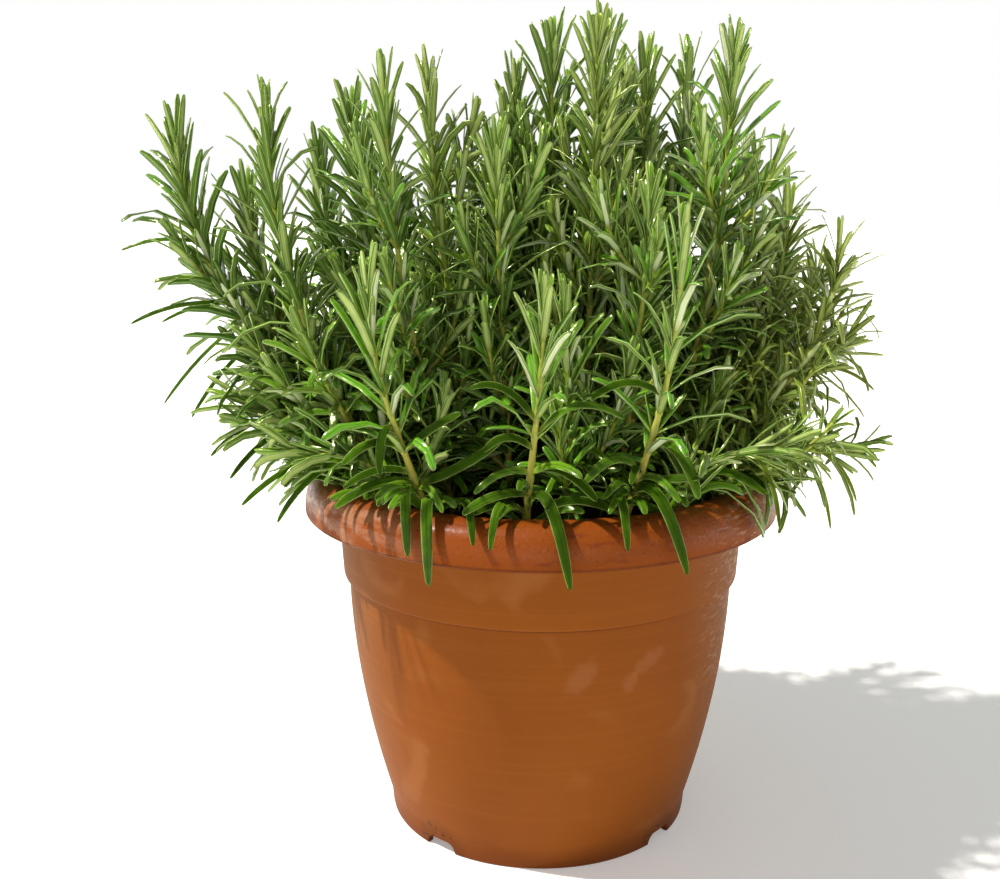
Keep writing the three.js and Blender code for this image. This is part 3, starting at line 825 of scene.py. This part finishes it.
def pair_of_leaves(stem, joint, turn, draw, habit, vigour, blanks):
    """The two leaves of one joint, and the small ones that stand between them and the stem."""
    below = (stem.length - joint) / vigour
    centre, along, side, across = stem.at(joint)
    grown = 1 - exp(-below / GROWN_REACH)
    youth = exp(-below / YOUTH_REACH)
    opened = 1 - exp(-((below / LEAN_REACH) ** habit.growth.lean_power))
    opened += (1 - opened) * CURL_OPENING * habit.curl * grown
    lean = TIP_LEAN + (LOW_LEAN - TIP_LEAN) * opened * habit.spread
    lean += CURL_LEAN * habit.curl * grown
    hang = hang_at(centre) * grown
    old = grown * max(0, 1 - joint / OLD_BELOW) if vigour == 1 else 0
    bend_range = BEND_RANGE + CURL_BEND * habit.curl
    droop_range = MOST_DROOP * grown * (1 + habit.curl)
    leaves = []
    for half in (0, 1):
        angle = turn + pi * half + draw.uniform(-TURN_SPREAD, TURN_SPREAD)
        out = outward(side, across, angle)
        length = TIP_LENGTH + (LOW_LENGTH - TIP_LENGTH) * grown
        length *= vigour * (1 + HANG_LENGTH * hang + OLD_LENGTH * old)
        length *= (1 - CURL_SHORTER * habit.curl) * habit.size
        half_width = TIP_HALF_WIDTH + (LOW_HALF_WIDTH - TIP_HALF_WIDTH) * grown * vigour
        half_width = (half_width + HANG_WIDTH * hang + OLD_WIDTH * old) * habit.size
        tone = max(0, min(1, draw.random() + habit.shift - OLD_DARKER * old))
        swing = draw.uniform(-LEAN_SPREAD, LEAN_SPREAD) * grown
        leaf = Leaf(
            root=centre + out * stem.reach(joint) * 0.6,
            out=out,
            along=along,
            lean=radians(lean + swing + HANG_LEAN * hang),
            length=length * draw.uniform(*LENGTHS),
            half_width=half_width * draw.uniform(*WIDTHS) * (1 - CURL_THINNER * habit.curl),
            bend=radians(LEAST_BEND + bend_range * opened**0.6 * draw.random() ** 1.2),
            droop=droop_range * draw.random() ** 2 + hang * draw.uniform(*HANG_DROOPS),
            roll=draw.uniform(-TURN_SPREAD, TURN_SPREAD),
            twist=draw.uniform(-TWIST_SPREAD, TWIST_SPREAD) * grown,
            kind=Vector((tone, youth, habit.yellow)),
            blank=blanks[0],
        )
        leaves.append(leaf)
        if below < SMALL_FROM:
            continue
        for _ in range(draw.choice(habit.growth.small if vigour == 1 else SHOOT_SMALL)):
            small_angle = angle + draw.uniform(-SMALL_TURN_SPREAD, SMALL_TURN_SPREAD)
            small_out = outward(side, across, small_angle)
            small_leaf = Leaf(
                root=centre + small_out * stem.reach(joint) * 0.5,
                out=small_out,
                along=along,
                lean=radians(max(7, lean * draw.uniform(*SMALL_LEANS))),
                length=vigour * draw.uniform(*SMALL_LENGTHS) * min(1, 0.5 + below / 30),
                half_width=draw.uniform(*SMALL_HALF_WIDTHS) * habit.size,
                bend=radians(draw.uniform(0, SMALL_BEND) * (1 + habit.curl)),
                droop=0.2 * draw.random(),
                roll=draw.uniform(-SMALL_TWIST_SPREAD, SMALL_TWIST_SPREAD),
                twist=draw.uniform(-SMALL_TWIST_SPREAD, SMALL_TWIST_SPREAD),
                kind=Vector((draw.random(), min(1, youth + draw.uniform(0.0, 0.4)), habit.yellow)),
                blank=blanks[1],
            )
            leaves.append(small_leaf)
    return leaves


def lay_leaves(bm, leaves, blank, layers):
    """Lays in the blank once for each leaf, then bends each copy to its place."""
    first = len(bm.verts)
    for _ in leaves:
        bm.from_mesh(blank.mesh)
    bm.verts.ensure_lookup_table()
    for leaf in leaves:
        frames = leaf_frames(leaf, blank.stations)
        bend_copy(bm, first, blank, frames, leaf.half_width, leaf.kind, layers)
        first += len(blank.points)


def habit_of(index, draw):
    """How one stem grows, by its place in the bush."""
    foot, tip, _ = STEMS[index]
    curl = max(0, min(1, (tip[0] - CURL_FROM) / (CURL_FULL - CURL_FROM)))
    shift = TONE_SHIFTS.get(index + 1, draw.uniform(-0.1, 0.1))
    yellow = YELLOWNESS.get(index + 1, curl)
    if foot[1] < FOREMOST_Y:
        return Habit(FOREMOST, FOREMOST.spreads[0], 1, curl, shift, yellow)
    size = REAR_SIZE if foot[1] > REAR_Y else 1
    if foot[1] < FRONT_Y:
        growth = FRONT
    elif abs(tip[0]) > OUTER_X:
        growth = OUTER
        size = max(size, OUTER_SIZE)
    else:
        growth = INNER
    return Habit(growth, draw.uniform(*growth.spreads), size, curl, shift, yellow)


def make_sprig(index, blanks, materials):
    """One leafy stem: the stem and its side shoots, then the short leaves, then the long ones."""
    foot, tip, sweep = STEMS[index]
    stem = main_stem(foot, tip, sweep)
    draw = random.Random(SEED + index)
    habit = habit_of(index, draw)
    joints = stem.joints()
    bm = bmesh.new()
    layers = [bm.verts.layers.float_vector.new(name) for name in ("place", "kind")]
    tone = draw.random()
    add_stem(bm, stem, joints, layers, tone, 0)
    start_turn = draw.uniform(0, pi)
    leaves = []
    for number, joint in enumerate(joints):
        turn = start_turn + number * pi / 2
        leaves += pair_of_leaves(stem, joint, turn, draw, habit, 1, blanks)
        share = joint / stem.length
        for half in (0, 1):
            if not SHOOTS_FROM < share < habit.growth.shoots_to:
                continue
            if draw.random() > habit.growth.shoot_chance * (1.4 - share):
                continue
            shoot_turn = turn + pi * half + draw.uniform(-0.4, 0.4)
            shoot = side_shoot(stem, joint, shoot_turn, draw, habit)
            shoot_joints = shoot.joints()
            add_stem(bm, shoot, shoot_joints, layers, tone, share)
            for step, place in enumerate(shoot_joints):
                pair_turn = draw.uniform(0, 0.3) + step * pi / 2
                leaves += pair_of_leaves(shoot, place, pair_turn, draw, habit, SHOOT_VIGOUR, blanks)
    stem_faces = len(bm.faces)
    settled = [leaf for leaf in map(settle, leaves) if leaf]
    for blank in blanks[:2]:
        lay_leaves(bm, [leaf for leaf in settled if leaf.blank is blank], blank, layers)
    short_faces = len(bm.faces)
    for number, *knots, half_width in HANGING:
        if number == index + 1:
            own_kind = Vector((draw.uniform(*LONG_TONES), LONG_YOUTH, habit.curl))
            lay_long(bm, knots, half_width, blanks[2], layers, own_kind)
    if foot[1] < LOW_LEAVES_FROM_Y:
        lay_low(bm, stem, blanks[2], layers, draw)
    bm.faces.ensure_lookup_table()
    for face in bm.faces[stem_faces:]:
        face.material_index = 1 if face.index < short_faces else 2
    name = f"sprig_{index + 1:02d}"
    return finish_piece(f"leafy_{name}", bm, materials, [name])


# Materials
def math_node(operation, turned=False):
    """A sum of two values, or of a value and a number, in either order."""

    def work_out(first, second):
        inputs = {0: second, 1: first} if turned else {0: first, 1: second}
        return first.finish.node("Math", {"operation": operation}, inputs)

    return work_out


class Value:
    """A socket of a material, with the sums that can be done on it."""

    __add__ = __radd__ = math_node("ADD")
    __sub__ = math_node("SUBTRACT")
    __rsub__ = math_node("SUBTRACT", turned=True)
    __mul__ = __rmul__ = math_node("MULTIPLY")

    def __init__(self, finish, socket):
        self.finish = finish
        self.socket = socket

    def __abs__(self):
        return self.finish.node("Math", {"operation": "ABSOLUTE"}, {0: self})


class Finish:
    """A new material, or the room round the scene, built up from nodes."""

    def __init__(self, owner):
        self.owner = bpy.data.materials.new(owner) if isinstance(owner, str) else owner
        self.owner.use_nodes = True
        self.tree = self.owner.node_tree
        self.tree.nodes.clear()

    def node(self, kind, settings=None, inputs=None, output=0):
        made = self.tree.nodes.new("ShaderNode" + kind)
        for key, value in (settings or {}).items():
            if key == "stops":
                for stop, (position, color) in zip(made.color_ramp.elements, value):
                    stop.position = position
                    stop.color = color
            else:
                setattr(made, key, value)
        for key, value in (inputs or {}).items():
            if isinstance(value, Value):
                self.tree.links.new(value.socket, made.inputs[key])
            else:
                made.inputs[key].default_value = value
        return Value(self, made.outputs[output]) if made.outputs else None

    def blend(self, mask, low, high):
        low, high = [(*c, 1) if isinstance(c, tuple) else c for c in (low, high)]
        return self.node("Mix", {"data_type": "RGBA"}, {0: mask, 6: low, 7: high}, output=2)

    def over(self, paint, *coats):
        """The paint under some coats, each with its amount and its colour."""
        for mask, color in coats:
            paint = self.blend(mask, paint, color)
        return paint

    def fade(self, value, low, high):
        """0 below low and 1 above high, or the other way round where high is smaller."""
        settings = {"interpolation_type": "SMOOTHSTEP"}
        return self.node("MapRange", settings, {0: value, 1: low, 2: high})

    def grain(self, vector, scale, detail=3, roughness=0.55, distortion=0):
        inputs = {"Vector": vector, "Scale": scale, "Detail": detail, "Roughness": roughness}
        return self.node("TexNoise", None, {**inputs, "Distortion": distortion})

    def object_place(self, scale=(1, 1, 1)):
        spot = self.node("TexCoord", output=3)
        return self.node("Mapping", None, {"Vector": spot, "Scale": scale})

    def streaks(self, scale, detail, low, high):
        return self.fade(self.grain(self.object_place(scale), 1, detail, 0.7), low, high)

    def parts(self, vector):
        return [self.node("SeparateXYZ", None, {0: vector}, output=i) for i in range(3)]

    def distance(self, vector, spot):
        """How far the place is from a spot, in millimetres."""
        inputs = {0: vector, 1: tuple(value * METRE for value in spot)}
        settings = {"operation": "DISTANCE"}
        return self.node("VectorMath", settings, inputs, output=1) * (1 / METRE)

    def own(self, name):
        """The three numbers that each point of the piece has under that name."""
        return self.parts(self.node("Attribute", {"attribute_name": name}, output=1))

    def bump(self, height, strength, distance, before=None):
        inputs = {"Height": height, "Strength": strength, "Distance": distance}
        if before:
            inputs["Normal"] = before
        return self.node("Bump", None, inputs)

    def close(self, color, roughness, normal, more=None):
        inputs = {"Base Color": color, "Roughness": roughness, "Normal": normal, **(more or {})}
        return self.end(self.node("BsdfPrincipled", None, inputs), "Material")

    def end(self, surface, kind):
        self.node("Output" + kind, None, {"Surface": surface})
        return self.owner


def leaf_finish(name, dark, bright, painted_edge_highlight, least_wax, specular):
    """Glossy green above with a furrow, darker there as painted shade, and a thin pale edge that is a
    painted highlight; pale grey-green and felted beneath.
    """
    f = Finish(name)
    across, along, under = f.own("place")
    tone, youth, curl = f.own("kind")
    spot = f.object_place()
    blotch = f.grain(spot, 90, 2)
    vivid = f.fade(tone + blotch * 0.8 - 0.4, 0.14, 0.86)
    side = abs(across)
    top = f.over(
        f.blend(vivid, dark, bright),
        (youth * 0.8, (0.25, 0.42, 0.03)),
        (curl * 0.65, (0.25, 0.28, 0.03)),
        # Painted shade in the furrow along the leaf's middle
        (f.fade(side, 0.18, 0.03) * 0.6, (0.01, 0.05, 0.004)),
        # Thin pale edge along the margins: a painted highlight
        (f.fade(side, 0.76, 0.93) * painted_edge_highlight, (0.44, 0.54, 0.18)),
    )
    beneath = f.over(
        f.blend(vivid, (0.057, 0.162, 0.01), (0.42, 0.52, 0.16)),
        (f.fade(tone, 0.82, 0.97) * 0.9, (0.72, 0.76, 0.52)),
        (youth * 0.4, (0.38, 0.48, 0.11)),
        (curl * 0.5, (0.38, 0.41, 0.08)),
        (f.fade(side, 0.14, 0.03) * 0.6, (0.58, 0.64, 0.34)),
        (f.fade(side, 0.5, 0.76) * 0.85, (0.032, 0.115, 0.006)),
    )
    felt = f.fade(under, 0.35, 0.65)
    tipped = f.fade(along, 0.94, 1) * f.fade(tone, 0.45, 0.8)
    paint = f.over(
        f.blend(felt, top, beneath),
        (f.fade(along, 0.2, 0) * 0.6, (0.42, 0.5, 0.08)),
        (tipped * 0.7, (0.07, 0.045, 0.012)),
    )
    roughness = 0.19 + felt * 0.33 + blotch * 0.08
    normal = f.bump(f.grain(spot, 1400, 2), 0.25, 0.0003)
    normal = f.bump(f.grain(spot, 320, 1), 0.5, 0.0008, normal)
    wax = (1 - felt) * (least_wax + f.fade(tone, 0.3, 0.6) * (0.95 - least_wax))
    more = {
        "Coat Weight": wax,
        "Coat Roughness": 0.14,
        "Specular IOR Level": specular,
        "Specular Tint": (0.95, 1, 0.45, 1),
        "Subsurface Weight": 0.35,
        "Subsurface Radius": (0.6, 1, 0.1),
        "Subsurface Scale": 0.0012,
    }
    return f.close(paint, roughness, normal, more)


def stem_finish():
    """Yellow-green at the tip, mustard lower down and brown and barky at the soil."""
    f = Finish("rosemary_stem")
    tone, share, joint = f.own("kind")
    streak = f.grain(f.object_place((900, 900, 60)), 1, 3)
    blotch = f.fade(f.grain(f.object_place(), 260, 3), 0.48, 0.62)
    young = f.blend(streak, (0.3, 0.4, 0.03), (0.6, 0.64, 0.1))
    old = f.blend(streak, (0.34, 0.27, 0.025), (0.64, 0.52, 0.1))
    bark = f.blend(streak, (0.13, 0.09, 0.02), (0.36, 0.3, 0.07))
    paint = f.over(
        young,
        (f.fade(share + tone * 0.15, 0.85, 0.35), old),
        (f.fade(share, 0.22, 0.02) * 0.8, bark),
        (blotch * 0.45, (0.2, 0.17, 0.03)),
        (joint * 0.6, (0.3, 0.38, 0.04)),
    )
    return f.close(paint, 0.34 + streak * 0.25, f.bump(streak, 0.5, 0.0006))


def pot_finish():
    """Moulded plastic with fine turning lines, worn and marked, and wet and glossy at the rim, with painted
    shade in the crease under the collar's step and along the rim's lower edge, a painted highlight on the
    rim's left and a painted reflection at its right end.
    """
    f = Finish("moulded_terracotta")
    spot = f.object_place()
    x, _, z = [part * (1 / METRE) for part in f.parts(spot)]
    lines = f.grain(f.object_place((9, 9, 620)), 1, 4, 0.6)
    bands = f.grain(f.object_place((12, 12, 70)), 1, 3)
    clouds = f.grain(spot, 16, 4)
    speckle = f.grain(spot, 900, 2)
    grit = f.fade(f.grain(spot, 420, 3), 0.55, 0.68)
    sides = f.fade(abs(x), 50, 80)
    rim = f.fade(z, 134.5, 137)
    scuffs = f.streaks((60, 60, 260), 5, 0.56, 0.68) * rim
    marks = f.fade(f.grain(spot, 30, 2, 0.4, 0.6), 0.62, 0.76) * (1 - rim)
    paint = f.over(
        f.blend(clouds, (0.18, 0.045, 0.003), (0.25, 0.068, 0.0052)),
        (f.fade(lines, 0.45, 0.75) * (0.07 + sides * 0.18), (0.4, 0.15, 0.03)),
        (f.fade(bands, 0.55, 0.35) * 0.08, (0.19, 0.045, 0.004)),
        (sides * 0.4, (0.2, 0.09, 0.03)),
        (rim * 0.6, (0.22, 0.04, 0.003)),
        (scuffs * 0.65, (0.13, 0.02, 0.006)),
        (marks * 0.16, (0.44, 0.2, 0.075)),
    )
    for centre, size, turn in SMUDGES:
        paint = f.blend(smudge(f, spot, centre, size, turn) * 0.14, paint, (0.42, 0.2, 0.1))
    worn = f.fade(x, 58, 84) * f.fade(z, 40, 90) * f.streaks((160, 160, 760), 4, 0.5, 0.68)
    # Paler towards the right end of the rim: a painted reflection
    painted_rim_end_reflection = f.fade(x + clouds * 20, 88, 104) * rim * (0.45 + f.fade(bands, 0.42, 0.6) * 0.55)
    paint = f.over(
        paint,
        (worn * 0.5, (0.58, 0.46, 0.34)),
        (painted_rim_end_reflection * 0.65, (0.6, 0.47, 0.36)),
        (f.fade(z + clouds * 14, 20, 7) * 0.6, (0.115, 0.026, 0.006)),
    )
    for i in range(NOTCH_COUNT):
        angle = NOTCH_FIRST + tau * i / NOTCH_COUNT
        notch = (FOOT_RADIUS * cos(angle), FOOT_RADIUS * sin(angle), 1)
        caked = f.fade(f.distance(spot, notch) + clouds * 8, 19, 12) * (0.3 + grit * 0.7)
        paint = f.blend(caked * 0.85, paint, (0.03, 0.01, 0.004))
    # The rim's left, where the sun falls, is wet and glossier, and painted paler there as a highlight
    wet_gloss_and_painted_highlight = rim * f.fade(x, -30, -78) * f.streaks((50, 50, 150), 4, 0.42, 0.6)
    paint = f.over(
        paint,
        # Painted shade in the crease under the collar's step
        (f.fade(abs(z - SHOULDER_Z - 0.3), 0.9, 0.3) * 0.8, (0.08, 0.02, 0.004)),
        # Painted shade along the rim's lower edge
        (f.fade(abs(z - RIM_EDGE_Z), 1.8, 0.7) * 0.6, (0.075, 0.018, 0.003)),
        # Painted highlight on the rim's left
        (wet_gloss_and_painted_highlight * 0.22, (0.62, 0.42, 0.28)),
    )
    gloss = f.fade(z, 138, 146) * (0.3 + f.fade(clouds, 0.42, 0.58) * 0.5 + wet_gloss_and_painted_highlight * 0.4)
    sparkle = f.fade(f.grain(spot, 620, 3), 0.5, 0.62)
    roughness = 0.50 + lines * 0.10 - gloss * 0.22 + speckle * 0.06
    normal = f.bump(lines, 0.2, 0.0004)
    normal = f.bump(speckle, 0.2, 0.0004, normal)
    normal = f.bump(grit * rim, 0.35, 0.0006, normal)
    normal = f.bump(clouds, 0.3, 0.002, normal)
    fixed = {"Specular IOR Level": 0.08, "Coat Roughness": 0.3}
    return f.close(paint, roughness, normal, {"Coat Weight": gloss * (0.35 + sparkle * 0.65), **fixed})


def smudge(f, spot, centre, size, turn):
    """A faint, ragged oval mark on the front of the pot."""
    inputs = {
        "Vector": spot,
        "Location": (centre[0] * METRE, 0, centre[1] * METRE),
        "Rotation": (0, turn, 0),
        "Scale": (size[0] * METRE, 1, size[1] * METRE),
    }
    across, _, up = f.parts(f.node("Mapping", {"vector_type": "TEXTURE"}, inputs))
    ragged = f.grain(spot, 220, 4, 0.7) * 1.4
    front = f.fade(f.parts(spot)[1], -0.03, -0.05)
    return f.fade(across * across + up * up + ragged, 1.5, 0.8) * front


def soil_finish():
    """Dark, damp potting mix of peat and bark."""
    f = Finish("potting_mix")
    spot = f.object_place()
    clumps = f.grain(spot, 160, 4, 0.7)
    fibres = f.grain(spot, 700, 3)
    paint = f.blend(clumps, (0.022, 0.016, 0.01), (0.085, 0.055, 0.032))
    paint = f.blend(f.fade(fibres, 0.62, 0.75) * 0.6, paint, (0.13, 0.085, 0.05))
    normal = f.bump(clumps * 0.6 + fibres * 0.4, 0.8, 0.002)
    return f.close(paint, 0.88 - clumps * 0.1, normal)


def floor_finish():
    f = Finish("pale_floor")
    dust = f.grain(f.object_place(), 6, 3)
    paint = f.blend(dust, (0.86, 0.86, 0.85), (0.9, 0.9, 0.89))
    normal = f.bump(dust, 0.05, 0.001)
    glow = {"Emission Color": (1.0, 1.0, 0.99, 1), "Emission Strength": 0.28}
    return f.close(paint, 0.8 + dust * 0.05, normal, glow)


# Stage, lights and camera, which are in metres and degrees
FLOOR_RADIUS = 9
SUNBEAM = (0.542, 0.057, -0.839)
SUN_STRENGTH = 5.4
SUN_WIDTH = radians(2)
SUN_COLOR = (1.0, 0.95, 0.87)
HORIZON = (0.16, (1, 1, 1, 1))
OVERHEAD = (0.5, (0.245, 0.25, 0.24, 1))
CAMERA_AT = (0, -0.5025, 0.2709)
CAMERA_DOWN = 12.07
CAMERA_LEFT = 1.95
CAMERA_LENS = 43.2


def make_floor():
    bm = bmesh.new()
    bmesh.ops.create_circle(bm, cap_ends=True, segments=96, radius=FLOOR_RADIUS)
    mesh = mesh_of(bm, "floor")
    mesh.materials.append(floor_finish())
    put("floor", mesh)


def window_light():
    """One broad, even light from high on the left."""
    lamp = bpy.data.lights.new("window_light", "SUN")
    lamp.energy = SUN_STRENGTH
    lamp.angle = SUN_WIDTH
    lamp.color = SUN_COLOR
    light = put("window_light", lamp)
    light.rotation_euler = Vector(SUNBEAM).to_track_quat("-Z", "Y").to_euler()


def light_room():
    """A pale room that is bright round the horizon and dimmer overhead."""
    world = bpy.data.worlds.new("pale_room")
    scene.world = world
    f = Finish(world)
    _, _, up = f.parts(f.node("TexCoord"))
    glow = f.node("ValToRGB", {"stops": [HORIZON, OVERHEAD]}, {0: up})
    f.end(f.node("Background", None, {0: glow}), "World")


def make_camera():
    data = bpy.data.cameras.new("camera")
    data.sensor_width = 36
    data.lens = CAMERA_LENS
    data.clip_start = 0.02
    data.clip_end = 30
    camera = put("camera", data)
    camera.location = CAMERA_AT
    camera.rotation_euler = (radians(90 - CAMERA_DOWN), 0, radians(CAMERA_LEFT))
    scene.camera = camera


make_camera()
make_floor()
light_room()
window_light()
scene.view_settings.view_transform = "Standard"

make_pot(pot_finish())
make_soil(soil_finish())
fine_leaf = Blank("fine_leaf", LEAF_SECTION, LEAF_STATIONS)
plain_leaf = Blank("plain_leaf", PLAIN_SECTION, PLAIN_STATIONS)
small_leaf = Blank("small_leaf", SMALL_SECTION, SMALL_STATIONS)
long_leaf = Blank("long_leaf", LEAF_SECTION, LONG_STATIONS)
foliage = [
    stem_finish(),
    leaf_finish("rosemary_leaf", (0.009, 0.052, 0.002), (0.096, 0.31, 0.01), 0.65, 0.6, 0.5),
    leaf_finish("long_rosemary_leaf", (0.019, 0.05, 0.0015), (0.1, 0.23, 0.006), 0.4, 0.02, 0.05),
]
for number, (foot, _, _) in enumerate(STEMS):
    leaf = fine_leaf if foot[1] < FRONT_Y else plain_leaf
    make_sprig(number, (leaf, small_leaf, long_leaf), foliage)

bpy.context.view_layer.update()
